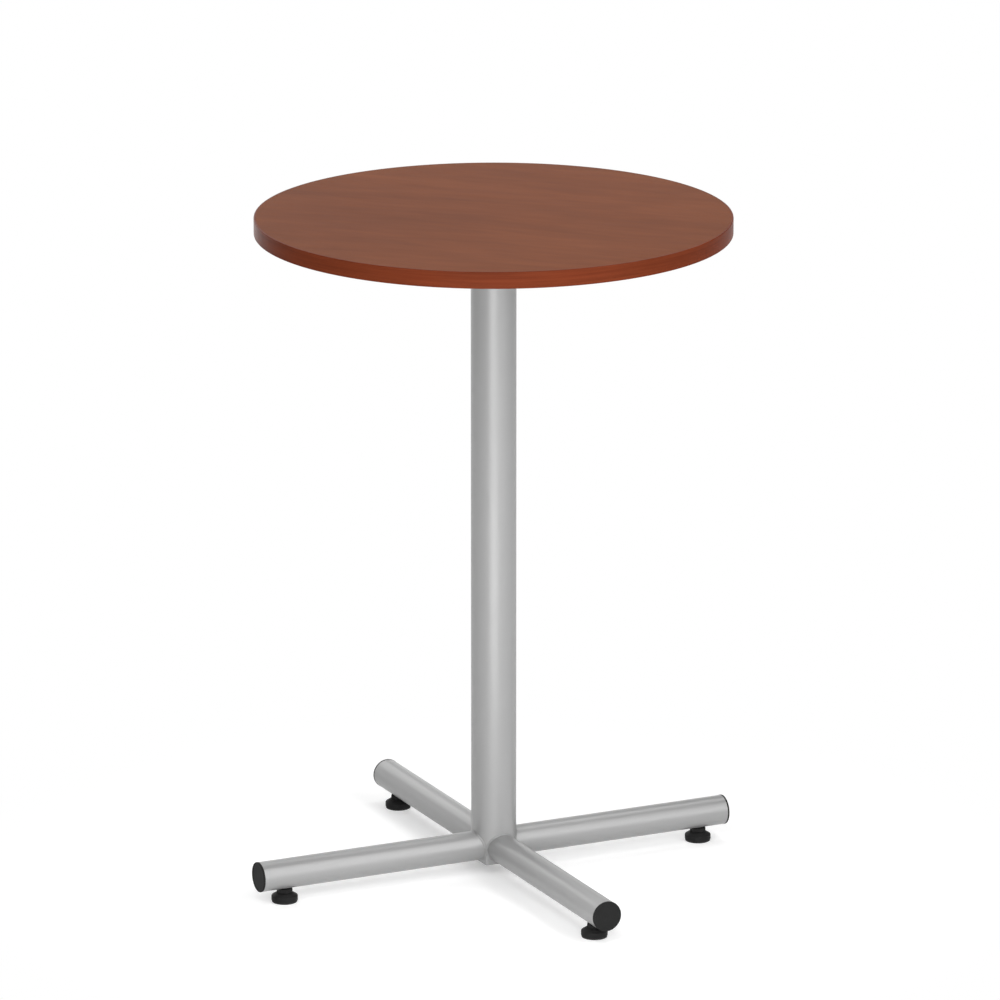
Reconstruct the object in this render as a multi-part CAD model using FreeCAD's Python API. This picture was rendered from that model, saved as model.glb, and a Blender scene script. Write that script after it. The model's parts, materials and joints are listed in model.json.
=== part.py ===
import FreeCAD, Part
import math
import os

# High table: a round laminate top on one round column, which stands on four round legs
# set in a cross, each with a levelling glide.
# Millimetres. The origin is on the floor under the column. +Z is up, and the legs lie
# along -Y (front), +X (right), +Y (back) and -X (left).

# Overall sizes
overall_height = 1092.0
top_diameter = 762.0
leg_reach = 418.0

# Top: a board with a laminate above, a backer below and a plastic band round its edge
board_thickness = 25.4
laminate_thickness = 0.8
backer_thickness = 0.5
band_thickness = 3.0
band_edge_chamfer = 1.2
glue_line = 0.05

# Legs and hub: round tubes butt against the flat faces of a square tube
leg_diameter = 48.3
leg_wall = 1.65
weld_land = 1.25
hub_wall = 3.2
hub_corner_radius = 3.2
hub_drop = 4.0
hub_socket_depth = 60.0

# Column: a round tube over the square hub, with its lower end coped over the legs
column_wall = 1.65
hub_clearance = 0.25
cope_gap = 0.2

# Mounting plate on the column, and the screws that hold the top to it
plate_width = 254.0
plate_thickness = 4.8
plate_corner_radius = 16.0
screw_edge_distance = 19.0
screw_hole_clearance = 0.4
screw_pilot_clearance = 0.05
screw_length = 22.0
screw_shank_diameter = 4.8
screw_tip_length = 4.0
screw_head_diameter = 10.0
screw_head_height = 3.2
screw_head_chamfer = 1.4

# End caps: plugs with a dished lip as wide as the leg, and ribs along them that grip its bore
cap_lip_thickness = 2.0
cap_lip_chamfer = 0.6
cap_rim_width = 3.0
cap_dish_depth = 0.5
cap_plug_depth = 18.0
cap_plug_clearance = 1.1
cap_rib_clearance = 0.1
cap_rib_width = 1.6
cap_rib_lead = 3.0
cap_rib_count = 6

# Levelling glides: a threaded bush welded into the leg, a stud with a hexagonal collar,
# a foot that the stud turns in, and a sole that closes the foot. The foot hides most of
# the sole.
glide_inset = 46.5
bush_diameter = 14.3
bush_length = 16.0
bush_fit = 0.05
thread_diameter = 9.52
thread_clearance = 0.09
stud_length = 25.4
collar_across_flats = 22.0
collar_height = 6.8
collar_fit = 0.05
stop_gap = 0.1
running_gap = 0.3
foot_diameter = 42.6
foot_side_height = 8.0
foot_cone_height = 4.8
foot_top_diameter = 27.0
neck_clearance = 0.09
stud_flange_diameter = 20.0
stud_flange_thickness = 3.0
sole_diameter = 41.0
sole_thickness = 2.4

# Cuts run past the faces that they open by this much
overrun = 1.0

# Sizes that follow from the ones above
top_radius = top_diameter / 2
board_radius = top_radius - band_thickness - glue_line
top_thickness = laminate_thickness + board_thickness + backer_thickness
board_base = overall_height - laminate_thickness - board_thickness
plate_top = overall_height - top_thickness
plate_base = plate_top - plate_thickness
pilot_radius = screw_shank_diameter / 2 + screw_pilot_clearance

leg_radius = leg_diameter / 2
leg_bore_radius = leg_radius - leg_wall
hub_half = leg_radius + weld_land
hub_reach = hub_half * math.sqrt(2) - hub_corner_radius * (math.sqrt(2) - 1)
column_bore_radius = hub_reach + hub_clearance
column_radius = column_bore_radius + column_wall

foot_base = sole_thickness
foot_shoulder = foot_base + foot_side_height
foot_top = foot_shoulder + foot_cone_height
collar_base = foot_top + running_gap
collar_top = collar_base + collar_height
leg_underside = collar_top + stop_gap
leg_axis_height = leg_underside + leg_radius
hub_base = leg_underside - hub_drop
hub_top = leg_axis_height + leg_radius + hub_socket_depth

glide_reach = leg_reach - glide_inset
leg_end = leg_reach - cap_lip_thickness

bush_bore_radius = thread_diameter / 2
thread_radius = bush_bore_radius - thread_clearance
flange_base = foot_base + running_gap
flange_top = flange_base + stud_flange_thickness
pocket_top = flange_top + running_gap

# Each leg's name and its direction, in degrees from +X
leg_directions = {"front": -90.0, "right": 0.0, "back": 90.0, "left": 180.0}

up = FreeCAD.Vector(0, 0, 1)
origin = FreeCAD.Vector(0, 0, 0)


def save(name, shape):
    """Writes one piece as parts/NAME.step."""
    shape.exportStep(os.path.join("parts", name + ".step"))
    print(name, "solids", len(shape.Solids), "volume", round(shape.Volume, 1))


def filled(points):
    """A flat face inside a closed line through the points."""
    return Part.Face(Part.makePolygon(points + points[:1]))


def turned(profile):
    """A solid of revolution about Z from a profile of (radius, height) points."""
    points = [FreeCAD.Vector(radius, 0, height) for radius, height in profile]
    return filled(points).revolve(origin, up, 360)


def upright_cylinder(radius, base, height):
    return Part.makeCylinder(radius, height, FreeCAD.Vector(0, 0, base), up)


def square_prism(half_width, base, height):
    corner = FreeCAD.Vector(-half_width, -half_width, base)
    return Part.makeBox(2 * half_width, 2 * half_width, height, corner)


def rounded_corners(prism, radius):
    """Rounds a prism's four upright edges."""
    upright = [edge for edge in prism.Edges if edge.Vertexes[0].Z != edge.Vertexes[1].Z]
    return prism.makeFillet(radius, upright)


def along_leg(shape, start):
    """Lays a piece made about Z down along +X, so that its base is at start."""
    laid = shape.copy()
    laid.rotate(origin, FreeCAD.Vector(0, 1, 0), 90)
    laid.translate(FreeCAD.Vector(start, 0, leg_axis_height))
    return laid


def under_leg(shape):
    """Moves a piece made about Z to the glide's place under the leg along +X."""
    moved = shape.copy()
    moved.translate(FreeCAD.Vector(glide_reach, 0, 0))
    return moved


def turned_to(shape, direction):
    """Turns a piece of the leg along +X to one of the four directions."""
    placed = shape.copy()
    placed.rotate(origin, up, direction)
    return placed


# Top

def screw_places():
    """The plate's four corners, where the screws stand."""
    reach = plate_width / 2 - screw_edge_distance
    return [(x * reach, y * reach) for x in (-1, 1) for y in (-1, 1)]


def at_screws(piece):
    """One copy of a piece at each screw's place."""
    copies = []
    for x, y in screw_places():
        copy = piece.copy()
        copy.translate(FreeCAD.Vector(x, y, 0))
        copies.append(copy)
    return Part.makeCompound(copies)


def top_laminate():
    return upright_cylinder(board_radius, overall_height - laminate_thickness, laminate_thickness)


def top_board():
    """The particle board, with blind pilot holes for the screws."""
    board = upright_cylinder(board_radius, board_base, board_thickness)
    depth = screw_length - plate_thickness - backer_thickness + screw_pilot_clearance
    hole = upright_cylinder(pilot_radius, board_base - overrun, depth + overrun)
    return board.cut(at_screws(hole))


def backer_sheet():
    sheet = upright_cylinder(board_radius, plate_top, backer_thickness)
    hole = upright_cylinder(pilot_radius, plate_top - overrun, backer_thickness + 2 * overrun)
    return sheet.cut(at_screws(hole))


def edge_band():
    """The plastic band round the board, as high as the whole top, with eased outer edges."""
    inner = top_radius - band_thickness
    eased = top_radius - band_edge_chamfer
    lower = plate_top + band_edge_chamfer
    upper = overall_height - band_edge_chamfer
    profile = [(inner, plate_top), (eased, plate_top), (top_radius, lower)]
    profile += [(top_radius, upper), (eased, overall_height), (inner, overall_height)]
    return turned(profile)


def mounting_plate():
    """The steel plate on the column's upper end, with a clearance hole for each screw."""
    plate = square_prism(plate_width / 2, plate_base, plate_thickness)
    plate = rounded_corners(plate, plate_corner_radius)
    hole_radius = screw_shank_diameter / 2 + screw_hole_clearance
    hole = upright_cylinder(hole_radius, plate_base - overrun, plate_thickness + 2 * overrun)
    return plate.cut(at_screws(hole))


def top_screws():
    """Pan-head wood screws, points up, with their heads against the plate."""
    shank_radius = screw_shank_diameter / 2
    head_radius = screw_head_diameter / 2
    head_base = plate_base - screw_head_height
    tip = plate_base + screw_length
    profile = [(0, head_base), (head_radius - screw_head_chamfer, head_base)]
    profile += [(head_radius, head_base + screw_head_chamfer), (head_radius, plate_base)]
    profile += [(shank_radius, plate_base), (shank_radius, tip - screw_tip_length), (0, tip)]
    return at_screws(turned(profile))


# Column, hub and legs

def leg_space(radius):
    """The room that the four legs take, as two crossed cylinders."""
    span = 2 * (column_radius + overrun)
    room = upright_cylinder(radius, -span / 2, span)
    room.rotate(origin, FreeCAD.Vector(0, 1, 0), 90)
    room.translate(FreeCAD.Vector(0, 0, leg_axis_height))
    return room.fuse(turned_to(room, 90))


def column_tube():
    """The round column. Its lower end is coped, and its four tongues end at the legs' mid-height."""
    height = plate_base - leg_axis_height
    tube = upright_cylinder(column_radius, leg_axis_height, height)
    bore = upright_cylinder(column_bore_radius, leg_axis_height - overrun, height + 2 * overrun)
    return tube.cut(bore).cut(leg_space(leg_radius + cope_gap))


def hub_tube():
    """The square tube that the legs meet. It stands inside the column and ends below the legs."""
    height = hub_top - hub_base
    outer = rounded_corners(square_prism(hub_half, hub_base, height), hub_corner_radius)
    bore = square_prism(hub_half - hub_wall, hub_base - overrun, height + 2 * overrun)
    return outer.cut(bore)


def leg_tube():
    """A round leg from the hub's flat face to its end cap, with a hole below for the bush."""
    length = leg_end - hub_half
    outer = upright_cylinder(leg_radius, 0, length)
    bore = upright_cylinder(leg_bore_radius, -overrun, length + 2 * overrun)
    tube = along_leg(outer.cut(bore), hub_half)
    hole = upright_cylinder(bush_diameter / 2 + bush_fit, leg_underside - overrun, leg_radius)
    return tube.cut(under_leg(hole))


def crush_rib(plug_radius, plug_end):
    """One rib along the cap's plug, as high as the leg's bore lets it be, with a tapered lead end."""
    rib_radius = leg_bore_radius - cap_rib_clearance
    root = plug_radius - overrun
    side = [(root, -cap_lip_thickness), (rib_radius, -cap_lip_thickness)]
    side += [(rib_radius, plug_end + cap_rib_lead), (root, plug_end)]
    corners = [FreeCAD.Vector(x, -cap_rib_width / 2, z) for x, z in side]
    return filled(corners).extrude(FreeCAD.Vector(0, cap_rib_width, 0))


def end_cap():
    """A solid plug that is driven into the leg, with a dished lip and ribs that grip the bore."""
    plug_radius = leg_bore_radius - cap_plug_clearance
    plug_end = -cap_lip_thickness - cap_plug_depth
    dish_radius = leg_radius - cap_rim_width
    profile = [(0, -cap_dish_depth), (dish_radius, -cap_dish_depth), (dish_radius, 0)]
    profile += [(leg_radius - cap_lip_chamfer, 0), (leg_radius, -cap_lip_chamfer)]
    profile += [(leg_radius, -cap_lip_thickness), (plug_radius, -cap_lip_thickness)]
    profile += [(plug_radius, plug_end), (0, plug_end)]
    cap = turned(profile)
    rib = crush_rib(plug_radius, plug_end)
    for i in range(cap_rib_count):
        cap = cap.fuse(turned_to(rib, 360 * i / cap_rib_count))
    return along_leg(cap, leg_reach)


# Levelling glides

def thread_bush():
    """The threaded bush that stands in the leg's lower wall. It is welded there, flush with the leg."""
    bush = upright_cylinder(bush_diameter / 2, leg_underside, bush_length)
    bore = upright_cylinder(bush_bore_radius, leg_underside - overrun, bush_length + 2 * overrun)
    return under_leg(bush.cut(bore))


def glide_stud():
    """The steel stud: a threaded shank, and a flange below that the foot holds."""
    flange_radius = stud_flange_diameter / 2
    tip = collar_top + stud_length
    profile = [(0, flange_base), (flange_radius, flange_base), (flange_radius, flange_top)]
    profile += [(thread_radius, flange_top), (thread_radius, tip), (0, tip)]
    return under_leg(turned(profile))


def glide_collar():
    """The hexagonal collar on the stud, which it is turned by."""
    corner = FreeCAD.Vector(collar_across_flats / math.sqrt(3), 0, collar_base)
    corners = [FreeCAD.Rotation(up, 60 * i).multVec(corner) for i in range(6)]
    prism = filled(corners).extrude(up * collar_height)
    bore_radius = thread_radius + collar_fit
    bore = upright_cylinder(bore_radius, collar_base - overrun, collar_height + 2 * overrun)
    return under_leg(prism.cut(bore))


def glide_foot():
    """The moulded foot: straight side, cone above, and a pocket below for the stud's flange."""
    side_radius = foot_diameter / 2
    roof_radius = foot_top_diameter / 2
    neck_hole_radius = thread_radius + neck_clearance
    pocket_radius = stud_flange_diameter / 2 + running_gap
    profile = [(pocket_radius, foot_base), (side_radius, foot_base), (side_radius, foot_shoulder)]
    profile += [(roof_radius, foot_top), (neck_hole_radius, foot_top), (neck_hole_radius, pocket_top)]
    profile += [(pocket_radius, pocket_top)]
    return under_leg(turned(profile))


def glide_sole():
    """The round sole under the foot, which closes the pocket."""
    return under_leg(upright_cylinder(sole_diameter / 2, 0, sole_thickness))


def build():
    os.makedirs("parts", exist_ok=True)
    save("top_laminate", top_laminate())
    save("top_board", top_board())
    save("backer_sheet", backer_sheet())
    save("edge_band", edge_band())
    save("mounting_plate", mounting_plate())
    save("top_screws", top_screws())
    save("column_tube", column_tube())
    save("hub_tube", hub_tube())
    leg_pieces = {
        "leg_tube": leg_tube(),
        "end_cap": end_cap(),
        "thread_bush": thread_bush(),
        "glide_stud": glide_stud(),
        "glide_collar": glide_collar(),
        "glide_foot": glide_foot(),
        "glide_sole": glide_sole(),
    }
    for side, direction in leg_directions.items():
        for name, piece in leg_pieces.items():
            save(name + "_" + side, turned_to(piece, direction))


build()
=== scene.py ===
# %% [markdown]
# A high table: a round laminate top on one round column, which stands on four round legs
# with levelling glides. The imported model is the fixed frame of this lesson. Sizes and
# places come from its nodes, and the cells below add the finishes, the rounded edges, the
# welds and the threads.

# %% Load the frame
import json
import math

import bmesh
import bpy
from mathutils import Matrix, Vector


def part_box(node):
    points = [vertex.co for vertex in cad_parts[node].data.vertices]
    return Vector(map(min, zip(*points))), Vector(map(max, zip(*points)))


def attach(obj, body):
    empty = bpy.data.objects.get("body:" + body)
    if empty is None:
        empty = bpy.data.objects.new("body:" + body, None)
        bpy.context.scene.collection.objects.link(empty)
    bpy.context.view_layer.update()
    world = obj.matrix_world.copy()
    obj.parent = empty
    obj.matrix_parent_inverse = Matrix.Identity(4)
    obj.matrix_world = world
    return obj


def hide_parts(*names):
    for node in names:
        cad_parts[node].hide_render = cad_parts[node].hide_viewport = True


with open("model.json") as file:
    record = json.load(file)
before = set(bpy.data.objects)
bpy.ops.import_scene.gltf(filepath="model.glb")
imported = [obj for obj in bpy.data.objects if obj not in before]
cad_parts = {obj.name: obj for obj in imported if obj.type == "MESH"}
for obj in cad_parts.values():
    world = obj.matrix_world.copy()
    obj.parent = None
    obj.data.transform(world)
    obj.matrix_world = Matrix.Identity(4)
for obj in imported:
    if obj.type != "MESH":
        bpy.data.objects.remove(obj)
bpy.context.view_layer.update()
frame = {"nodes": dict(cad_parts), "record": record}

# %% [markdown]
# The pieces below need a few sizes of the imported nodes. A node's box gives most of them.
# Where a box says too little, such as for a stud with a wide flange, the reach of the
# node's points at one height gives the radius there.

# %% Measure the frame
mm = 0.001
same_height = 0.02 * mm


def middle(node):
    lowest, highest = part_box(node)
    return (lowest + highest) / 2


def reach_at(node, height):
    """The largest distance of a node's points from its own upright axis, at one height."""
    axis = middle(node)
    points = [v.co for v in frame["nodes"][node].data.vertices]
    level = [p for p in points if abs(p.z - height) < same_height]
    return max((p - axis).to_2d().length for p in level)


top_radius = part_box("edge_band")[1].x
top_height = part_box("edge_band")[1].z
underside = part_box("edge_band")[0].z
leg_axis_height = middle("leg_tube_right").z
leg_radius = leg_axis_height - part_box("leg_tube_right")[0].z
leg_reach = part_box("end_cap_right")[1].x
glide_reach = middle("glide_foot_right").x
column_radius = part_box("column_tube")[1].x
hub_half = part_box("hub_tube")[1].x
print("top", round(2 * top_radius / mm), "mm across and", round(top_height / mm), "mm high")
print("column", round(2 * column_radius / mm, 1), "mm, legs", round(2 * leg_radius / mm, 1), "mm")

# %% [markdown]
# The camera stands far off with a long lens, at a standing person's eye level above the
# top, so the table is almost free of perspective. Its place was fitted to the outlines of
# the top, column and legs in the photograph.

# %% Camera
camera_lens = 272.13
camera_distance = 11.6902
camera_height = 3.8390
camera_azimuth = math.radians(-25.379)
aim_height = 0.6238
aim_right = 0.0102
camera_reach = 100

toward_camera = Vector((math.sin(camera_azimuth), -math.cos(camera_azimuth), 0))
camera_right = Vector((math.cos(camera_azimuth), math.sin(camera_azimuth), 0))
aim = camera_right * aim_right + Vector((0, 0, aim_height))
camera_place = toward_camera * camera_distance + Vector((0, 0, camera_height))

camera_data = bpy.data.cameras.new("camera")
camera_data.lens = camera_lens
camera_data.clip_end = camera_reach
camera = bpy.data.objects.new("camera", camera_data)
camera.location = camera_place
camera.rotation_euler = (aim - camera_place).to_track_quat("-Z", "Y").to_euler()
bpy.context.scene.collection.objects.link(camera)
bpy.context.scene.camera = camera
bpy.context.scene.view_settings.view_transform = "Standard"
print("camera at", tuple(round(c, 3) for c in camera_place))

# %% [markdown]
# Finishes are made of shader nodes. Written out one by one, they hide the idea behind
# them, so two small classes let them read like sums. Wire holds one output socket, and
# sums on it add Math nodes. Graph adds any other node, and works for Geometry Nodes too.

# %% Node graphs as expressions
class Wire:
    """An output socket. Sums with numbers or other wires add Math nodes."""

    def __init__(self, graph, socket):
        self.graph = graph
        self.socket = socket

    def __add__(self, other):
        return self.graph.maths("ADD", self, other)

    def __sub__(self, other):
        return self.graph.maths("SUBTRACT", self, other)

    def __rsub__(self, other):
        return self.graph.maths("SUBTRACT", other, self)

    def __mul__(self, other):
        return self.graph.maths("MULTIPLY", self, other)

    def __truediv__(self, other):
        return self.graph.maths("DIVIDE", self, other)

    __radd__ = __add__
    __rmul__ = __mul__


class Graph:
    """Adds nodes to one node tree."""

    def __init__(self, tree):
        self.tree = tree

    def add(self, kind, settings=None, sockets=None, out=0):
        """Adds a node. Its settings come first, then the values or wires of its sockets."""
        node = self.tree.nodes.new(kind)
        for key, value in (settings or {}).items():
            setattr(node, key, value)
        for key, value in (sockets or {}).items():
            if isinstance(value, Wire):
                self.tree.links.new(value.socket, node.inputs[key])
            else:
                node.inputs[key].default_value = value
        return Wire(self, node.outputs[out]) if node.outputs else None

    def maths(self, operation, *values):
        return self.add("ShaderNodeMath", {"operation": operation}, dict(enumerate(values)))

    def mix(self, factor, first, second):
        """Mixes two colours. The Mix node's colour sockets have these numbers."""
        return self.add("ShaderNodeMix", {"data_type": "RGBA"}, {0: factor, 6: first, 7: second}, out=2)

    def smooth_step(self, value, low, high):
        """0 below low, 1 above high, with a soft ramp between."""
        sockets = {"Value": value, "From Min": low, "From Max": high}
        return self.add("ShaderNodeMapRange", {"interpolation_type": "SMOOTHSTEP"}, sockets)


print("the graph helper adds nodes and sums")

# %% [markdown]
# Every finish needs the same few steps: the piece's own coordinates, noise at a chosen
# size, and a Principled shader. Noise is scaled in copies a metre, so a scale of 400
# gives grain 2.5 mm wide. Coordinates that are stretched unevenly make streaks.

# %% Steps that the finishes share
def grey(level):
    return (level, level, level, 1)


def own_coordinates(graph):
    return graph.add("ShaderNodeTexCoord", out=3)


def stretched(graph, vector, scale, turn=0):
    """Scales coordinates by axis, after a turn about Z."""
    if turn:
        vector = graph.add("ShaderNodeMapping", {}, {"Vector": vector, "Rotation": (0, 0, turn)})
    return graph.add("ShaderNodeMapping", {}, {"Vector": vector, "Scale": scale})


def noise(graph, vector, scale=1, detail=2, distortion=0):
    sockets = {"Vector": vector, "Scale": scale, "Detail": detail, "Distortion": distortion}
    return graph.add("ShaderNodeTexNoise", {}, sockets)


def bump(graph, height, depth):
    """Turns a height of 0 to 1 into a normal, for relief of that depth in metres."""
    return graph.add("ShaderNodeBump", {}, {"Height": height, "Distance": depth})


def new_finish(name):
    material = bpy.data.materials.new(name)
    material.use_nodes = True
    material.node_tree.nodes.clear()
    return material, Graph(material.node_tree)


def principled(graph, sockets):
    shader = graph.add("ShaderNodeBsdfPrincipled", {}, sockets)
    graph.add("ShaderNodeOutputMaterial", {}, {"Surface": shader})


finishes = {}
print("shared steps ready")

# %% [markdown]
# The top is a wood-grain laminate: a printed paper under clear resin. The print is calm,
# with long soft streaks that run midway between two legs, a little fine grain and short
# dark pores. The resin is satin. Four layers of noise, each stretched along the grain,
# give the print, and the pores also give a trace of relief. The specular level is very
# low, because a common one lets the bright panels behind the table whiten the print.

# %% Cherry laminate
grain_turn = math.radians(45)
cherry_light = (0.228, 0.064, 0.0185, 1)
cherry_dark = (0.128, 0.030, 0.0065, 1)
pore_colour = (0.100, 0.024, 0.0070, 1)
patch_scale = (2.2, 9, 1)
cloud_scale = (11, 48, 1)
streak_scale = (7, 160, 1)
pore_scale = (70, 1500, 1)
pore_from = 0.66
pore_full = 0.78
pore_strength = 0.35
pore_depth = 0.01 * mm


def cherry_laminate():
    material, graph = new_finish("cherry_laminate")
    place = own_coordinates(graph)
    broad = noise(graph, stretched(graph, place, patch_scale, grain_turn), detail=2, distortion=0.5)
    cloud = noise(graph, stretched(graph, place, cloud_scale, grain_turn), detail=3, distortion=0.3)
    streaks = noise(graph, stretched(graph, place, streak_scale, grain_turn), detail=3)
    pores = noise(graph, stretched(graph, place, pore_scale, grain_turn), detail=1)
    tone = broad * 0.9 + cloud * 0.6 + streaks * 0.4 - 0.45
    colour = graph.mix(tone, cherry_dark, cherry_light)
    pore = graph.smooth_step(pores, pore_from, pore_full)
    colour = graph.mix(pore * pore_strength, colour, pore_colour)
    principled(graph, {
        "Base Color": colour,
        "Roughness": 0.30 + streaks * 0.08,
        "Normal": bump(graph, 1 - pore, pore_depth),
        "Specular IOR Level": 0.0075,
    })
    return material


finishes["cherry_laminate"] = cherry_laminate()
print("cherry_laminate", len(finishes["cherry_laminate"].node_tree.nodes), "nodes")

# %% [markdown]
# The edge band is a plastic strip printed to match. Its grain runs round the table, so
# the noise is stretched in X and Y and kept fine in Z. That has no seam, where a pattern
# unrolled round the edge would have one. It is a little redder than the top, with darker
# lines a few millimetres apart, and glossier.

# %% Cherry edge band
band_light = (0.190, 0.040, 0.0158, 1)
band_dark = (0.108, 0.022, 0.0086, 1)
band_patch_scale = (4, 4, 90)
band_line_scale = (9, 9, 330)
band_line_depth = 0.01 * mm


def cherry_edge_band():
    material, graph = new_finish("cherry_edge_band")
    place = own_coordinates(graph)
    broad = noise(graph, stretched(graph, place, band_patch_scale), detail=2, distortion=0.4)
    lines = noise(graph, stretched(graph, place, band_line_scale), detail=3)
    tone = broad * 0.8 + lines * 1.2 - 0.5
    principled(graph, {
        "Base Color": graph.mix(tone, band_dark, band_light),
        "Roughness": 0.30 + lines * 0.10,
        "Normal": bump(graph, lines, band_line_depth),
        "Specular IOR Level": 0.018,
    })
    return material


finishes["cherry_edge_band"] = cherry_edge_band()
print("cherry_edge_band", len(finishes["cherry_edge_band"].node_tree.nodes), "nodes")

# %% [markdown]
# Under the laminate lies particle board, pressed from flat chips. Cells of random tone
# make the chips. The backer below it is a dark resin sheet with a dull, faintly sanded
# face.

# %% Particle board and backer
chip_light = (0.58, 0.42, 0.26, 1)
chip_dark = (0.30, 0.19, 0.10, 1)
chip_shape = (1, 1, 2.5)
chip_scale = 450
chip_depth = 0.15 * mm
backer_light = (0.048, 0.034, 0.028, 1)
backer_dark = (0.030, 0.021, 0.017, 1)
mottle_scale = 60
sanding_scale = (30, 1200, 1)
sanding_depth = 0.02 * mm


def particle_board():
    material, graph = new_finish("particle_board")
    place = own_coordinates(graph)
    sockets = {"Vector": stretched(graph, place, chip_shape), "Scale": chip_scale}
    chips = graph.add("ShaderNodeTexVoronoi", {}, sockets, out=1)
    level = graph.add("ShaderNodeSeparateColor", {}, {"Color": chips})
    principled(graph, {
        "Base Color": graph.mix(level, chip_dark, chip_light),
        "Roughness": 0.85,
        "Normal": bump(graph, level, chip_depth),
    })
    return material


def backer():
    material, graph = new_finish("backer")
    place = own_coordinates(graph)
    mottle = noise(graph, place, mottle_scale, detail=4)
    sanding = noise(graph, stretched(graph, place, sanding_scale), detail=2)
    principled(graph, {
        "Base Color": graph.mix(mottle, backer_dark, backer_light),
        "Roughness": 0.50 + sanding * 0.15,
        "Normal": bump(graph, sanding, sanding_depth),
    })
    return material


finishes["particle_board"] = particle_board()
finishes["backer"] = backer()
print("particle_board and backer ready")

# %% [markdown]
# The frame is powder coated in satin silver. The coat holds metal flakes, so it shines
# like dull metal, and it dries with a faint orange-peel surface. Flakes vary the tone by
# a few hundredths, and a soft bump makes the peel.

# %% Silver powder coat
silver_base = 0.33
flake_spread = 0.10
flake_scale = 2600
peel_scale = 520
peel_depth = 0.012 * mm


def silver_paint():
    material, graph = new_finish("silver_paint")
    place = own_coordinates(graph)
    flakes = noise(graph, place, flake_scale, detail=1)
    peel = noise(graph, place, peel_scale, detail=2)
    low = grey(silver_base * (1 - flake_spread))
    high = grey(silver_base * (1 + flake_spread))
    principled(graph, {
        "Base Color": graph.mix(flakes, low, high),
        "Metallic": 0.3,
        "Roughness": 0.34 + peel * 0.06,
        "Normal": bump(graph, peel, peel_depth),
        "Specular IOR Level": 0.3,
    })
    return material


finishes["silver_paint"] = silver_paint()
print("silver_paint", len(finishes["silver_paint"].node_tree.nodes), "nodes")

# %% [markdown]
# Caps, feet and collars are moulded in black plastic with a fine spark-eroded texture,
# which scatters the light a little. The soles are rubber, duller and coarser. The steel
# parts are zinc plated: bright, with cloudy spots.

# %% Plastic, rubber and zinc
spark_scale = 2200
spark_depth = 0.02 * mm
plastic_cloud_scale = 90
rubber_scale = 1300
rubber_depth = 0.04 * mm
zinc_light = (0.62, 0.63, 0.60, 1)
zinc_dark = (0.50, 0.50, 0.50, 1)
zinc_cloud_scale = 240


def black_plastic():
    material, graph = new_finish("black_plastic")
    place = own_coordinates(graph)
    texture = noise(graph, place, spark_scale, detail=2)
    cloud = noise(graph, place, plastic_cloud_scale, detail=2)
    principled(graph, {
        "Base Color": graph.mix(cloud, grey(0.016), grey(0.021)),
        "Roughness": 0.42 + texture * 0.16,
        "Normal": bump(graph, texture, spark_depth),
        "Specular IOR Level": 0.05,
    })
    return material


def black_rubber():
    material, graph = new_finish("black_rubber")
    place = own_coordinates(graph)
    texture = noise(graph, place, rubber_scale, detail=3)
    principled(graph, {
        "Base Color": graph.mix(texture, grey(0.012), grey(0.022)),
        "Roughness": 0.78 + texture * 0.12,
        "Normal": bump(graph, texture, rubber_depth),
    })
    return material


def zinc_steel():
    material, graph = new_finish("zinc_steel")
    place = own_coordinates(graph)
    cloud = noise(graph, place, zinc_cloud_scale, detail=3)
    principled(graph, {
        "Base Color": graph.mix(cloud, zinc_dark, zinc_light),
        "Metallic": 1.0,
        "Roughness": 0.26 + cloud * 0.18,
    })
    return material


finishes["black_plastic"] = black_plastic()
finishes["black_rubber"] = black_rubber()
finishes["zinc_steel"] = zinc_steel()
print("finishes", sorted(finishes))

# %% [markdown]
# Each imported node already names its finish by its material slot, so one loop gives every
# node the new material of that name. The pieces made further down hide some of them. The
# threaded bushes get a near-black finish in place of their zinc. That black is painted shade:
# it stands for the dark contact shade under the legs, beside the collars.

# %% Dress the imported nodes
# Painted shade: a near-black finish that stands for the contact shade under the legs.
def bush_painted_shade():
    material, graph = new_finish("bush_painted_shade")
    cloud = noise(graph, own_coordinates(graph), zinc_cloud_scale, detail=3)
    principled(graph, {
        "Base Color": graph.mix(cloud, grey(0.012), grey(0.020)),
        "Metallic": 0.4,
        "Roughness": 0.40 + cloud * 0.15,
    })
    return material


painted_shade_finish = bush_painted_shade()
slot_of = {part["node"]: part["material_slot"] for part in frame["record"]["subparts"]}
for node, slot in slot_of.items():
    for material_slot in frame["nodes"][node].material_slots:
        # The bushes take the painted-shade finish in place of their zinc.
        material_slot.material = painted_shade_finish if node.startswith("thread_bush") else finishes[slot]
print("dressed", len(slot_of), "nodes")

# %% [markdown]
# Most small pieces are turned parts. A lathe makes them from half a section: points of
# radius and height, with some corners rounded by short arcs, swept round Z. A point on
# the axis becomes one vertex, so the poles are closed.

# %% Lathe
arc_steps = 4
turned_segments = 96
smooth_angle = math.radians(32)


def rounded(profile, radii):
    """Rounds corners of a profile. radii gives them as {index: radius}."""
    points = []
    for i, corner in enumerate(profile):
        corner = Vector((corner[0], corner[1], 0))
        if i not in radii:
            points.append(corner)
            continue
        before = (Vector((*profile[i - 1], 0)) - corner).normalized()
        after = (Vector((*profile[(i + 1) % len(profile)], 0)) - corner).normalized()
        half = before.angle(after) / 2
        centre = corner + (before + after).normalized() * (radii[i] / math.sin(half))
        start = (corner + before * (radii[i] / math.tan(half)) - centre).normalized()
        end = (corner + after * (radii[i] / math.tan(half)) - centre).normalized()
        shares = [k / arc_steps for k in range(arc_steps + 1)]
        points += [centre + start.slerp(end, share) * radii[i] for share in shares]
    return [(p.x, p.y) for p in points]


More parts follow.
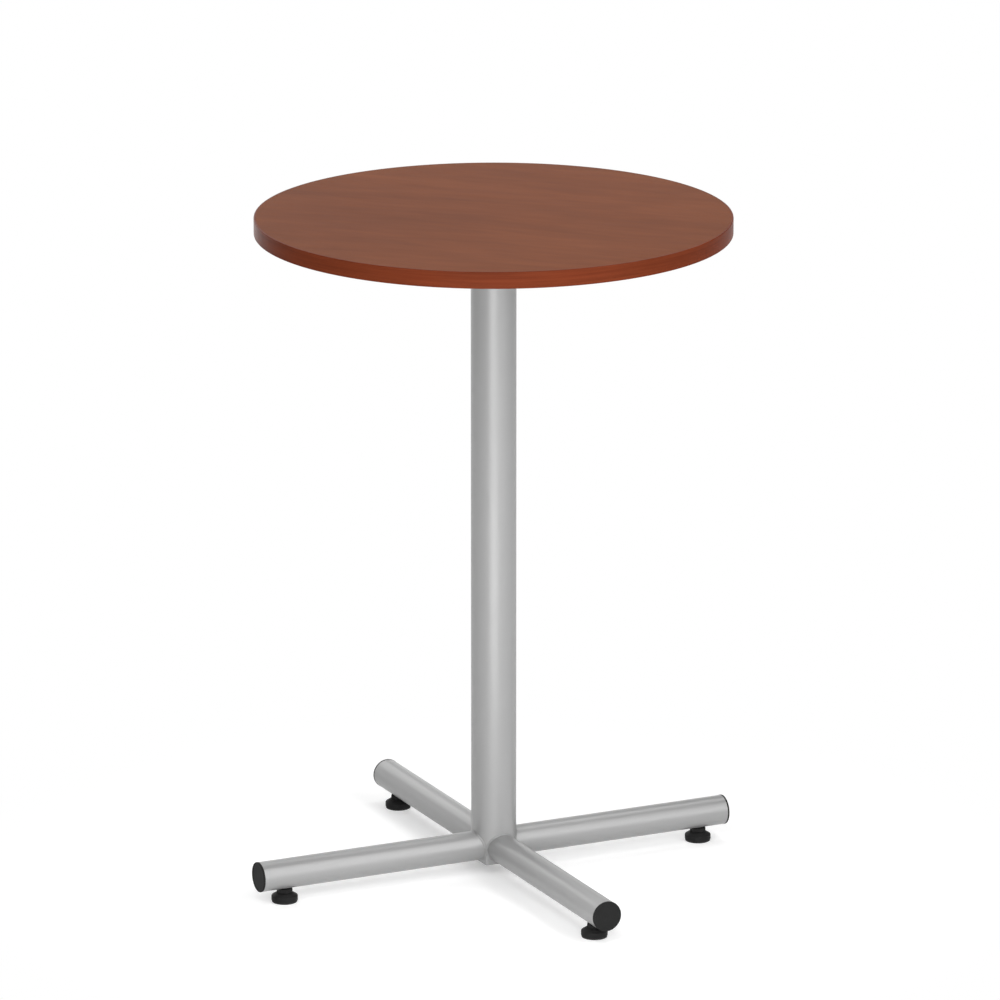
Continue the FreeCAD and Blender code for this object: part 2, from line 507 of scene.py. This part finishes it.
def lathe(name, profile, segments, closed=False):
    """A mesh turned round Z from a profile of (radius, height) points."""
    shape = bmesh.new()
    rings = []
    for radius, height in profile:
        count = segments if radius > 0 else 1
        angles = [2 * math.pi * i / count for i in range(count)]
        ring = [(radius * math.cos(a), radius * math.sin(a), height) for a in angles]
        rings.append([shape.verts.new(point) for point in ring])
    if closed:
        rings.append(rings[0])
    for lower, upper in zip(rings, rings[1:]):
        for i in range(segments):
            j = i + 1
            corners = [lower[i % len(lower)], lower[j % len(lower)]]
            corners += [upper[j % len(upper)], upper[i % len(upper)]]
            shape.faces.new(list(dict.fromkeys(corners)))
    bmesh.ops.recalc_face_normals(shape, faces=shape.faces)
    mesh = bpy.data.meshes.new(name)
    shape.to_mesh(mesh)
    shape.free()
    return mesh


print("lathe ready,", arc_steps, "steps in each rounded corner")

# %% [markdown]
# A finished piece is a plain mesh at the origin that rides on its body. Weighted normals
# keep the flat faces flat beside the small rounded edges. The modifier's result is read
# back as a mesh, so that nothing live is left on the piece.

# %% Finish a piece
def as_mesh(thing):
    """The mesh that an object has after its modifiers. The object is removed."""
    graph = bpy.context.evaluated_depsgraph_get()
    mesh = bpy.data.meshes.new_from_object(thing.evaluated_get(graph))
    bpy.data.objects.remove(thing)
    return mesh


def new_object(name, mesh):
    thing = bpy.data.objects.new(name, mesh)
    bpy.context.scene.collection.objects.link(thing)
    return thing


def shaded(mesh):
    """Smooth faces, with edges kept sharp where they turn by more than smooth_angle."""
    mesh.shade_smooth()
    mesh.set_sharp_from_angle(angle=smooth_angle)
    thing = new_object("shading", mesh)
    weighted = thing.modifiers.new("weighted", "WEIGHTED_NORMAL")
    weighted.keep_sharp = True
    return as_mesh(thing)


def place_piece(name, mesh, slot, body, *nodes):
    """Adds a finished mesh that stands for some nodes, in its slot's finish, on its body."""
    mesh = shaded(mesh)
    mesh.materials.clear()
    mesh.materials.append(finishes[slot])
    mesh.name = name
    piece = new_object(name, mesh)
    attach(piece, body)
    if nodes:
        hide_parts(*nodes)


print("pieces are finished by place_piece")

# %% [markdown]
# The edge band closes the board's rim. It is 3 mm thick and its outer edges are eased to
# a small radius, which catches the light as a thin line round the table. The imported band
# has a flat chamfer there, so a turned ring with true arcs stands for it.

# %% Edge band
band_inner = min(v.co.to_2d().length for v in frame["nodes"]["edge_band"].data.vertices)
band_round = 1.4 * mm
band_segments = 256

profile = [(band_inner, underside), (top_radius, underside)]
profile += [(top_radius, top_height), (band_inner, top_height)]
profile = rounded(profile, {1: band_round, 2: band_round})
band_mesh = lathe("band", profile, band_segments, closed=True)
place_piece("rounded_edge_band", band_mesh, "cherry_edge_band", "table", "edge_band")
print("band", round((top_radius - band_inner) / mm, 2), "mm thick")

# %% [markdown]
# The legs stand in a cross, so every leg piece is made once, for the leg along +X, and
# turned to the four sides. The end cap is a driven plug: a lip with a rounded rim and a
# shallow dish, whose edge laps a little over the tube's end, and a plug with ribs. The plug
# and its ribs are hidden in the tube, but they are part of the real piece.

# %% Sides and end cap profile
turn_of = {"front": -90, "right": 0, "back": 90, "left": 180}
cap_lip = leg_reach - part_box("leg_tube_right")[1].x
cap_depth = leg_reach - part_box("end_cap_right")[0].x
cap_rim = 3.0 * mm
cap_dish = 0.5 * mm
cap_proud = 0.3 * mm
cap_skirt = 1.1 * mm
cap_plug_radius = 21.4 * mm
cap_rib_radius = 22.4 * mm
cap_rib_width = 1.6 * mm
cap_rib_count = 6
cap_rib_sunk = 0.6 * mm
cap_rib_short = 2.0 * mm
cap_gate_radius = 1.6 * mm
cap_gate_height = 0.2 * mm


def to_side(mesh, side):
    """A copy of a mesh of the leg along +X, turned to a side."""
    copy = mesh.copy()
    copy.transform(Matrix.Rotation(math.radians(turn_of[side]), 4, "Z"))
    return copy


def place_on_sides(name, mesh, slot, body, node=None):
    """Places a piece of the leg along +X on all four sides. Glides have bodies of their own."""
    for side in turn_of:
        rides_on = body if body == "table" else f"{body}_{side}"
        nodes = [f"{node}_{side}"] if node else []
        place_piece(f"{name}_{side}", to_side(mesh, side), slot, rides_on, *nodes)


profile = [(0, cap_gate_height - cap_dish), (cap_gate_radius, cap_gate_height - cap_dish)]
profile += [(cap_gate_radius, -cap_dish), (leg_radius - cap_rim, -cap_dish)]
profile += [(leg_radius - cap_rim, 0), (leg_radius + cap_proud, 0)]
profile += [(leg_radius + cap_proud, -cap_lip - cap_skirt), (leg_radius, -cap_lip - cap_skirt)]
profile += [(leg_radius, -cap_lip), (cap_plug_radius, -cap_lip)]
profile += [(cap_plug_radius, -cap_depth), (0, -cap_depth)]
cap_radii = {3: 0.2 * mm, 4: 0.4 * mm, 5: 0.9 * mm, 6: 0.15 * mm, 10: 0.8 * mm}
cap_body = lathe("cap", rounded(profile, cap_radii), turned_segments)
print("end cap", round(cap_depth / mm, 1), "mm long")

# %% [markdown]
# Six ribs stand round the plug at even steps. Geometry Nodes make them from one short
# rule: a circle of points, a box on each point turned to face outwards, and the turned
# body joined in. The tree ends in Realize Instances and Set Material, because an export
# drops instances.

# %% Geometry Nodes helper
def new_tree(name, inputs):
    """A Geometry Nodes tree with named inputs, given as {name: (socket type, value)}."""
    tree = bpy.data.node_groups.new(name, "GeometryNodeTree")
    tree.interface.new_socket(name="Geometry", in_out="INPUT", socket_type="NodeSocketGeometry")
    tree.interface.new_socket(name="Geometry", in_out="OUTPUT", socket_type="NodeSocketGeometry")
    for label, (kind, value) in inputs.items():
        tree.interface.new_socket(name=label, in_out="INPUT", socket_type=kind)
    graph = Graph(tree)
    source = tree.nodes.new("NodeGroupInput")
    wires = {label: Wire(graph, source.outputs[label]) for label in ["Geometry", *inputs]}
    return graph, wires


def end_tree(graph, geometry, material):
    """Closes a tree with Realize Instances and Set Material."""
    solid = graph.add("GeometryNodeRealizeInstances", {}, {0: geometry})
    painted = graph.add("GeometryNodeSetMaterial", {}, {"Geometry": solid, "Material": material})
    output = graph.tree.nodes.new("NodeGroupOutput")
    graph.tree.links.new(painted.socket, output.inputs[0])


def grown(name, mesh, graph, inputs):
    """Runs a tree on a mesh and gives back the plain result. Inputs go by identifier."""
    thing = new_object(name, mesh)
    modifier = thing.modifiers.new(name, "NODES")
    modifier.node_group = graph.tree
    for item in graph.tree.interface.items_tree:
        if item.in_out == "INPUT" and item.name in inputs:
            modifier[item.identifier] = inputs[item.name][1]
    return as_mesh(thing)


print("trees are built by new_tree and end_tree, and run by grown")

# %% [markdown]
# The rib tree takes the cap's body as its geometry and the ribs' sizes as its inputs.
# Each rib sinks a little into the plug, so that no gap shows between them.

# %% End caps
rib_inputs = {
    "Count": ("NodeSocketInt", cap_rib_count),
    "Radius": ("NodeSocketFloat", cap_rib_radius),
    "Width": ("NodeSocketFloat", cap_rib_width),
    "Length": ("NodeSocketFloat", cap_depth - cap_lip - cap_rib_short),
    "Base": ("NodeSocketFloat", -cap_lip),
    "Sunk": ("NodeSocketFloat", cap_rib_sunk),
    "Material": ("NodeSocketMaterial", finishes["black_plastic"]),
}


def rib_tree():
    graph, given = new_tree("cap_ribs", rib_inputs)
    depth = given["Radius"] - cap_plug_radius + given["Sunk"]
    size = graph.add("ShaderNodeCombineXYZ", {}, {0: depth, 1: given["Width"], 2: given["Length"]})
    rib = graph.add("GeometryNodeMeshCube", {}, {"Size": size})
    out = given["Radius"] - depth / 2
    level = given["Base"] - given["Length"] / 2
    offset = graph.add("ShaderNodeCombineXYZ", {}, {0: out, 2: level})
    rib = graph.add("GeometryNodeTransform", {}, {"Geometry": rib, "Translation": offset})
    points = graph.add("GeometryNodePoints", {}, {"Count": given["Count"]})
    index = graph.add("GeometryNodeInputIndex")
    angle = index * (2 * math.pi) / given["Count"]
    turn = graph.add("ShaderNodeCombineXYZ", {}, {2: angle})
    sockets = {"Points": points, "Instance": rib, "Rotation": turn}
    ribs = graph.add("GeometryNodeInstanceOnPoints", {}, sockets)
    join = graph.tree.nodes.new("GeometryNodeJoinGeometry")
    graph.tree.links.new(ribs.socket, join.inputs[0])
    graph.tree.links.new(given["Geometry"].socket, join.inputs[0])
    end_tree(graph, Wire(graph, join.outputs[0]), given["Material"])
    return graph


cap_mesh = grown("cap_ribs", cap_body, rib_tree(), rib_inputs)
outwards = Matrix.Rotation(math.radians(90), 4, "Y")
cap_mesh.transform(Matrix.Translation((leg_reach, 0, leg_axis_height)) @ outwards)
place_on_sides("ribbed_cap", cap_mesh, "black_plastic", "table", "end_cap")
print("end caps", len(turn_of), "with", len(cap_mesh.polygons), "faces each")

# %% [markdown]
# The foot is a moulded disc: a straight side, a cone that rises to the collar, and below
# a pocket for the stud's flange. Its edges are rounded as a mould leaves them. The sole
# closes the pocket and grips the floor with shallow rings.

# %% Feet and soles
foot_low, foot_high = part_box("glide_foot_right")
foot_side_radius = (foot_high.x - foot_low.x) / 2
foot_top_radius = reach_at("glide_foot_right", foot_high.z)
foot_shoulder = foot_low.z + 8.0 * mm
foot_neck_radius = 4.76 * mm
pocket_radius = 10.3 * mm
pocket_top = foot_low.z + 3.6 * mm

profile = [(pocket_radius, foot_low.z), (foot_side_radius, foot_low.z)]
profile += [(foot_side_radius, foot_shoulder), (foot_top_radius, foot_high.z)]
profile += [(foot_neck_radius, foot_high.z), (foot_neck_radius, pocket_top)]
profile += [(pocket_radius, pocket_top)]
foot_radii = {1: 1.2 * mm, 2: 1.6 * mm, 3: 1.0 * mm}
foot_mesh = lathe("foot", rounded(profile, foot_radii), turned_segments, closed=True)

sole_low, sole_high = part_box("glide_sole_right")
sole_radius = (sole_high.x - sole_low.x) / 2
sole_round = 0.6 * mm
groove_depth = 0.5 * mm
groove_width = 1.0 * mm
groove_radii = [6 * mm, 10 * mm, 14 * mm]

profile = [(0, 0)]
for radius in groove_radii:
    profile += [(radius, 0), (radius, groove_depth)]
    profile += [(radius + groove_width, groove_depth), (radius + groove_width, 0)]
profile += [(sole_radius, 0), (sole_radius, sole_high.z), (0, sole_high.z)]
rim = len(profile) - 3
sole_mesh = lathe("sole", rounded(profile, {rim: sole_round}), turned_segments)

to_glide = Matrix.Translation((glide_reach, 0, 0))
foot_mesh.transform(to_glide)
sole_mesh.transform(to_glide)
place_on_sides("moulded_foot", foot_mesh, "black_plastic", "glide_foot", "glide_foot")
place_on_sides("ringed_sole", sole_mesh, "black_rubber", "glide_foot", "glide_sole")
print("foot", round(2 * foot_side_radius / mm, 1), "mm across")

# %% [markdown]
# The collar is a moulded hexagon on the stud, which a wrench turns. A plain prism would
# have razor edges, so its edges get a small bevel.

# %% Collars
collar_low, collar_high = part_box("glide_collar_right")
collar_height = collar_high.z - collar_low.z
corner_radius = 13.0 * mm
collar_bevel = 0.7 * mm
bevel_steps = 3


def bevelled(shape, name, width):
    """Rounds every edge of a bmesh and gives it back as a mesh."""
    bmesh.ops.bevel(
        shape, geom=shape.edges, offset=width, segments=bevel_steps, profile=0.5, affect="EDGES",
    )
    mesh = bpy.data.meshes.new(name)
    shape.to_mesh(mesh)
    shape.free()
    return mesh


hexagon = bmesh.new()
bmesh.ops.create_cone(
    hexagon, cap_ends=True, segments=6, depth=collar_height,
    radius1=corner_radius, radius2=corner_radius,
)
collar_mesh = bevelled(hexagon, "collar", collar_bevel)
print("collar", round(2 * corner_radius / mm, 1), "mm over its corners")
collar_mesh.transform(Matrix.Translation((glide_reach, 0, collar_low.z + collar_height / 2)))
place_on_sides("hex_collar", collar_mesh, "black_plastic", "glide_stud", "glide_collar")

# %% [markdown]
# Studs and screws need real threads, because a lowered glide shows its stud. A thread is
# a ridge that climbs round a core, so a spiral curve with a blunt V swept along it makes
# one, and a Boolean union joins it to the turned core as one closed skin.

# %% Thread tree
thread_inputs = {
    "Root Radius": ("NodeSocketFloat", 3.7 * mm),
    "Pitch": ("NodeSocketFloat", 1.5875 * mm),
    "Height": ("NodeSocketFloat", 25.4 * mm),
    "Depth": ("NodeSocketFloat", 0.97 * mm),
    "Sunk": ("NodeSocketFloat", 0.15 * mm),
    "Material": ("NodeSocketMaterial", finishes["zinc_steel"]),
}
crest_share = 0.07
base_share = 0.44
steps_per_turn = 32


def thread_tree():
    """Replaces its geometry by a V-shaped ridge that climbs round Z from height zero."""
    graph, given = new_tree("thread", thread_inputs)
    spiral = graph.add("GeometryNodeCurveSpiral", {}, {
        "Resolution": steps_per_turn, "Rotations": given["Height"] / given["Pitch"],
        "Start Radius": given["Root Radius"], "End Radius": given["Root Radius"],
        "Height": given["Height"],
    })
    spiral = graph.add("GeometryNodeSetCurveNormal", {"mode": "Z_UP"}, {"Curve": spiral})
    low, high = given["Pitch"] * base_share, given["Pitch"] * crest_share
    inside = 0 - given["Sunk"]
    places = [(inside, 0 - low), (inside, low), (given["Depth"], high), (given["Depth"], 0 - high)]
    corners = [graph.add("ShaderNodeCombineXYZ", {}, {0: x, 1: y}) for x, y in places]
    section = graph.add("GeometryNodeCurvePrimitiveQuadrilateral", {"mode": "POINTS"}, {
        f"Point {i + 1}": corner for i, corner in enumerate(corners)
    })
    ridge = graph.add("GeometryNodeCurveToMesh", {}, {
        "Curve": spiral, "Profile Curve": section, "Fill Caps": True,
    })
    end_tree(graph, ridge, given["Material"])
    return graph


def united(name, first, second):
    """The two meshes as one closed skin."""
    thing = new_object(name, first)
    other = new_object(f"{name}_other", second)
    union = thing.modifiers.new("union", "BOOLEAN")
    union.operation = "UNION"
    union.object = other
    mesh = as_mesh(thing)
    bpy.data.objects.remove(other)
    return mesh


threads = thread_tree()
print("thread tree", len(threads.tree.nodes), "nodes")

# %% [markdown]
# The stud is plated steel: a flange that the foot holds, a plain neck through the foot
# and collar, and above the collar a 3/8 inch thread with 16 turns to the inch.

# %% Studs
stud_low, stud_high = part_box("glide_stud_right")
flange_radius = (stud_high.x - stud_low.x) / 2
flange_top = stud_low.z + 3.0 * mm
thread_radius = reach_at("glide_stud_right", stud_high.z)
thread_base = collar_high.z
thread_runout = 1.0 * mm
flange_round = 0.5 * mm
stud_segments = 48
root_radius = thread_radius - thread_inputs["Depth"][1]

profile = [(0, stud_low.z), (flange_radius, stud_low.z), (flange_radius, flange_top)]
profile += [(thread_radius, flange_top), (thread_radius, thread_base - thread_runout)]
profile += [(root_radius, thread_base), (root_radius, stud_high.z - thread_runout)]
profile += [(root_radius - thread_runout, stud_high.z), (0, stud_high.z)]
stud_core = lathe("stud", rounded(profile, {1: flange_round, 2: flange_round}), stud_segments)
stud_values = dict(thread_inputs)
stud_values["Root Radius"] = ("NodeSocketFloat", root_radius)
stud_values["Height"] = ("NodeSocketFloat", stud_high.z - thread_base - 2 * thread_runout)
ridge_mesh = grown("stud_thread", bpy.data.meshes.new("empty"), threads, stud_values)
ridge_mesh.transform(Matrix.Translation((0, 0, thread_base)))
stud_mesh = united("stud", stud_core, ridge_mesh)
stud_mesh.transform(to_glide)
place_on_sides("threaded_stud", stud_mesh, "zinc_steel", "glide_stud", "glide_stud")
print("stud", len(stud_mesh.polygons), "faces, thread", round(2 * thread_radius / mm, 2), "mm")

# %% [markdown]
# The top's screws are pan heads with a cross recess. One screw is built: a turned head
# and core, a thread from the same tree as the studs', and a cross cut into the head by a
# Boolean difference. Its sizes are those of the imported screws.

# %% One screw
screw_low, screw_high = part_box("top_screws")
plate_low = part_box("mounting_plate")[0].z
head_radius = 5.0 * mm
head_height = plate_low - screw_low.z
head_dome = 1.9 * mm
head_edge = 0.3 * mm
screw_reach = screw_high.x - head_radius
shank_radius = 2.35 * mm
screw_root = 1.7 * mm
screw_tip = 5.0 * mm
neck_length = 6.0 * mm
screw_pitch = 1.8 * mm
screw_runout = 1.2 * screw_root
screw_segments = 32
screw_length = screw_high.z - plate_low
recess_width = 1.1 * mm
recess_span = 5.2 * mm
recess_depth = 1.9 * mm
recess_taper = 0.45
recess_overrun = 0.1 * mm

profile = [(0, -head_height), (head_radius, -head_height), (head_radius, 0)]
profile += [(shank_radius, 0), (shank_radius, neck_length), (screw_root, neck_length + screw_root)]
profile += [(screw_root, screw_length - screw_tip), (0, screw_length)]
screw_core = lathe("screw", rounded(profile, {1: head_dome, 2: head_edge}), screw_segments)

screw_values = dict(thread_inputs)
screw_values["Root Radius"] = ("NodeSocketFloat", screw_root)
screw_values["Depth"] = ("NodeSocketFloat", shank_radius - screw_root)
screw_values["Pitch"] = ("NodeSocketFloat", screw_pitch)
ridge_length = screw_length - screw_tip - neck_length - 2 * screw_root
screw_values["Height"] = ("NodeSocketFloat", ridge_length)
screw_ridge = grown("screw_thread", bpy.data.meshes.new("empty"), threads, screw_values)
screw_ridge.transform(Matrix.Translation((0, 0, neck_length + screw_runout)))
screw_mesh = united("screw", screw_core, screw_ridge)


def cross_cutter():
    """Two crossed bars that taper upwards, for the recess."""
    shape = bmesh.new()
    for turn in (0, 90):
        bar = bmesh.ops.create_cube(shape, size=1)["verts"]
        for vert in bar:
            taper = recess_taper if vert.co.z > 0 else 1
            x, y = recess_span * vert.co.x * taper, recess_width * vert.co.y
            vert.co = (x, y, recess_depth * vert.co.z)
        bmesh.ops.rotate(shape, verts=bar, matrix=Matrix.Rotation(math.radians(turn), 3, "Z"))
    mesh = bpy.data.meshes.new("cross")
    shape.to_mesh(mesh)
    shape.free()
    mesh.transform(Matrix.Translation((0, 0, recess_depth / 2 - head_height - recess_overrun)))
    return mesh


def cut(name, mesh, cutter):
    thing = new_object(name, mesh)
    tool = new_object(f"{name}_tool", cutter)
    difference = thing.modifiers.new("cut", "BOOLEAN")
    difference.operation = "DIFFERENCE"
    difference.use_self = True
    difference.object = tool
    mesh = as_mesh(thing)
    bpy.data.objects.remove(tool)
    return mesh


screw_mesh = cut("screw", screw_mesh, cross_cutter())
print("screw", len(screw_mesh.polygons), "faces,", round(screw_length / mm, 1), "mm under the head")

# %% [markdown]
# The four screws stand at the plate's corners. Nobody lines up screw slots, so each gets
# a turn of its own from a fixed seed. Geometry Nodes copy the screw to the four points.

# %% Screws on the plate
screw_inputs = {
    "Screw": ("NodeSocketObject", new_object("screw_source", screw_mesh)),
    "Turn Seed": ("NodeSocketInt", 7),
    "Material": ("NodeSocketMaterial", finishes["zinc_steel"]),
}


def screw_tree():
    graph, given = new_tree("screws", screw_inputs)
    screw = graph.add("GeometryNodeObjectInfo", {}, {"Object": given["Screw"]}, out="Geometry")
    points = graph.add("GeometryNodeMeshToPoints", {}, {"Mesh": given["Geometry"]})
    sockets = {2: 0.0, 3: math.pi, "Seed": given["Turn Seed"]}
    turn = graph.add("FunctionNodeRandomValue", {}, sockets, out=1)
    turn = graph.add("ShaderNodeCombineXYZ", {}, {2: turn})
    sockets = {"Points": points, "Instance": screw, "Rotation": turn}
    end_tree(graph, graph.add("GeometryNodeInstanceOnPoints", {}, sockets), given["Material"])
    return graph


corners = [(x * screw_reach, y * screw_reach, plate_low) for x in (-1, 1) for y in (-1, 1)]
corner_mesh = bpy.data.meshes.new("screw_places")
corner_mesh.from_pydata(corners, [], [])
screws_mesh = grown("screws", corner_mesh, screw_tree(), screw_inputs)
bpy.data.objects.remove(screw_inputs["Screw"][1])
place_piece("recessed_screws", screws_mesh, "zinc_steel", "table", "top_screws")
print("screws", len(corners), "with", len(screws_mesh.polygons), "faces in all")

# %% [markdown]
# The steel frame is welded, and the powder coat covers the beads. A bead is a tube along
# the joint whose radius pulses, as the welder's hand moves in steps. The path of each leg
# bead follows the coped column over the leg, then the hub's flat face below it.

# %% Weld beads
weld_inputs = {
    "Bead Radius": ("NodeSocketFloat", 1.5 * mm),
    "Ripple Pitch": ("NodeSocketFloat", 2.2 * mm),
    "Ripple Share": ("NodeSocketFloat", 0.16),
    "Step": ("NodeSocketFloat", 0.45 * mm),
    "Material": ("NodeSocketMaterial", finishes["silver_paint"]),
}
weld_inset = 0.3 * mm
path_points = 120
bead_sides = 10


def weld_tree():
    graph, given = new_tree("welds", weld_inputs)
    path = graph.add("GeometryNodeMeshToCurve", {}, {"Mesh": given["Geometry"]})
    sockets = {"Curve": path, "Length": given["Step"]}
    path = graph.add("GeometryNodeResampleCurve", {"mode": "LENGTH"}, sockets)
    length = graph.add("GeometryNodeSplineParameter", out="Length")
    phase = graph.maths("FRACT", length / given["Ripple Pitch"])
    ripple = 1 - given["Ripple Share"] * phase
    path = graph.add("GeometryNodeSetCurveRadius", {}, {"Curve": path, "Radius": ripple})
    sockets = {"Resolution": bead_sides, "Radius": given["Bead Radius"]}
    section = graph.add("GeometryNodeCurvePrimitiveCircle", {}, sockets)
    bead = graph.add("GeometryNodeCurveToMesh", {}, {"Curve": path, "Profile Curve": section})
    end_tree(graph, bead, given["Material"])
    return graph


def leg_joint(turn):
    """A point on the joint of the leg along +X. A turn of 0 is its top, a quarter its +Y side."""
    around = leg_radius + weld_inset
    across = around * math.sin(turn)
    height = leg_axis_height + around * math.cos(turn)
    on_column = math.sqrt((column_radius + weld_inset) ** 2 - across ** 2)
    out = on_column if math.cos(turn) > 0 else hub_half + weld_inset
    return Vector((out, across, height))


def plate_joint(turn):
    """A point on the round joint of the column and the plate."""
    around = column_radius + weld_inset
    return Vector((around * math.cos(turn), around * math.sin(turn), plate_low - weld_inset))


def ring_mesh(name, points):
    """A closed line through the points, as a mesh of edges."""
    count = len(points)
    mesh = bpy.data.meshes.new(name)
    mesh.from_pydata(points, [(i, (i + 1) % count) for i in range(count)], [])
    return mesh


turns = [2 * math.pi * (i + 0.5) / path_points for i in range(path_points)]
leg_path = ring_mesh("leg_joint", [leg_joint(turn) for turn in turns])
plate_path = ring_mesh("plate_joint", [plate_joint(turn) for turn in turns])
welds = weld_tree()
leg_weld = grown("leg_weld", leg_path, welds, weld_inputs)
place_on_sides("leg_weld", leg_weld, "silver_paint", "table")
plate_weld = grown("plate_weld", plate_path, welds, weld_inputs)
place_piece("plate_weld", plate_weld, "silver_paint", "table")
print("welds", len(turn_of) + 1, "beads,", len(leg_weld.polygons), "faces on each leg's")

# %% [markdown]
# The table stands on a pale studio floor. The floor takes the soft shadows near the base.
# A faint glow there, and a full white glow further out, hide where the floor ends. Only
# camera, mirrored and transmitted rays see the glow: it adds no light to the table. The
# floor lies a hair under the soles, and a camera below it looks through its back face.

# %% Floor
floor_radius = 60.0
floor_gap = 0.05 * mm
floor_tone = 0.86
floor_sides = 96
near_glow = 0.28
glow_from = 0.25
glow_full = 0.90


def camera_rays(graph):
    return graph.add("ShaderNodeLightPath", out="Is Camera Ray")


def mirror_rays(graph):
    """1 for mirrored and transmitted rays."""
    glossy = graph.add("ShaderNodeLightPath", out="Is Glossy Ray")
    transmitted = graph.add("ShaderNodeLightPath", out="Is Transmission Ray")
    return graph.maths("MAXIMUM", glossy, transmitted)


def studio_floor():
    material, graph = new_finish("studio_floor")
    seen = graph.maths("MAXIMUM", camera_rays(graph), mirror_rays(graph))
    place = own_coordinates(graph)
    distance = graph.add("ShaderNodeVectorMath", {"operation": "LENGTH"}, {0: place}, out=1)
    far = graph.smooth_step(distance, glow_from, glow_full)
    paint = graph.add("ShaderNodeBsdfDiffuse", {}, {"Color": grey(floor_tone)})
    glow = graph.add("ShaderNodeEmission", {}, {"Color": grey(1.0), "Strength": seen * near_glow})
    near = graph.add("ShaderNodeAddShader", {}, {0: paint, 1: glow})
    white = graph.add("ShaderNodeEmission", {}, {"Color": grey(1.0), "Strength": 1.0})
    upper = graph.add("ShaderNodeMixShader", {}, {0: seen * far, 1: near, 2: white})
    from_below = graph.add("ShaderNodeNewGeometry", out="Backfacing") * camera_rays(graph)
    clear = graph.add("ShaderNodeBsdfTransparent")
    shader = graph.add("ShaderNodeMixShader", {}, {0: from_below, 1: upper, 2: clear})
    graph.add("ShaderNodeOutputMaterial", {}, {"Surface": shader})
    return material


floor_mesh = bpy.data.meshes.new("floor")
shape = bmesh.new()
bmesh.ops.create_circle(shape, cap_ends=True, segments=floor_sides, radius=floor_radius)
shape.to_mesh(floor_mesh)
shape.free()
floor_mesh.transform(Matrix.Translation((0, 0, -floor_gap)))
floor_mesh.materials.append(studio_floor())
floor = new_object("floor", floor_mesh)
print("floor", floor_radius, "m in radius")

# %% [markdown]
# The light is soft and comes from large panels. A low panel in front and two brighter
# strips before it draw the long highlight down the column. Two tall softboxes light the
# front of the legs. Behind the table a wide low panel gives the top its sheen, and a
# softbox and a panel overhead light the top and the upper sides of the legs. A level of 1
# is the brightness of white, so a panel's power is its level times its area times pi.

# %% Lights
light_aim = Vector((0, 0, 0.55))
lights = {
    "low_panel": {"azimuth": -8, "elevation": -2.5, "distance": 2.0, "size": (3.1, 0.9), "level": 0.8},
    "low_strip": {"azimuth": -27, "elevation": 15, "distance": 1.4, "size": (0.9, 0.88), "level": 2.4},
    "foot_strip": {"azimuth": -24, "elevation": -18, "distance": 1.2, "size": (0.8, 0.34), "level": 3.1},
    "left_softbox": {"azimuth": -50, "elevation": 42, "distance": 3.5, "size": (1.6, 4.0), "level": 2.8},
    "right_softbox": {"azimuth": 30, "elevation": 33, "distance": 3.5, "size": (1.6, 4.0), "level": 3.6},
    "back_panel": {"azimuth": 180, "elevation": 14, "distance": 3.5, "size": (5.0, 2.6), "level": 0.85},
    "back_softbox": {"azimuth": -172, "elevation": 34, "distance": 3.5, "size": (2.5, 2.4), "level": 1.7},
    "back_overhead": {"azimuth": 135, "elevation": 62, "distance": 3.5, "size": (2.6, 1.8), "level": 2.9},
}


def area_light(name, azimuth, elevation, distance, size, level):
    """Adds a panel that faces the table from an azimuth and elevation. Gives its power."""
    a, e = math.radians(azimuth), math.radians(elevation)
    away = Vector((math.sin(a) * math.cos(e), -math.cos(a) * math.cos(e), math.sin(e)))
    data = bpy.data.lights.new(name, "AREA")
    data.shape = "RECTANGLE"
    data.size, data.size_y = size
    data.energy = math.pi * size[0] * size[1] * level
    lamp = bpy.data.objects.new(name, data)
    lamp.location = light_aim + away * distance
    lamp.rotation_euler = away.to_track_quat("Z", "Y").to_euler()
    lamp.visible_camera = False
    bpy.context.scene.collection.objects.link(lamp)
    return data.energy


for name, values in lights.items():
    power = area_light(name, **values)
    print(name, round(power), "W")

# %% [markdown]
# The world is white for the camera. Mirrored and transmitted rays see that white too,
# down near the horizon, where the studio's pale walls would be. For the rays that light
# the table, the world is only a faint fill.

# %% World
world_light = 0.03
wall_from = 0.12
wall_to = 0.34


def studio_world():
    world = bpy.data.worlds.new("studio")
    world.use_nodes = True
    world.node_tree.nodes.clear()
    graph = Graph(world.node_tree)
    direction = graph.add("ShaderNodeTexCoord")
    height = graph.add("ShaderNodeSeparateXYZ", {}, {0: direction}, out=2)
    wall = mirror_rays(graph) * (1 - graph.smooth_step(height, wall_from, wall_to))
    strength = graph.maths("MAXIMUM", graph.maths("MAXIMUM", wall, camera_rays(graph)), world_light)
    background = graph.add("ShaderNodeBackground", {}, {"Color": grey(1.0), "Strength": strength})
    graph.add("ShaderNodeOutputWorld", {}, {"Surface": background})
    return world


bpy.context.scene.world = studio_world()
print("world light", world_light)
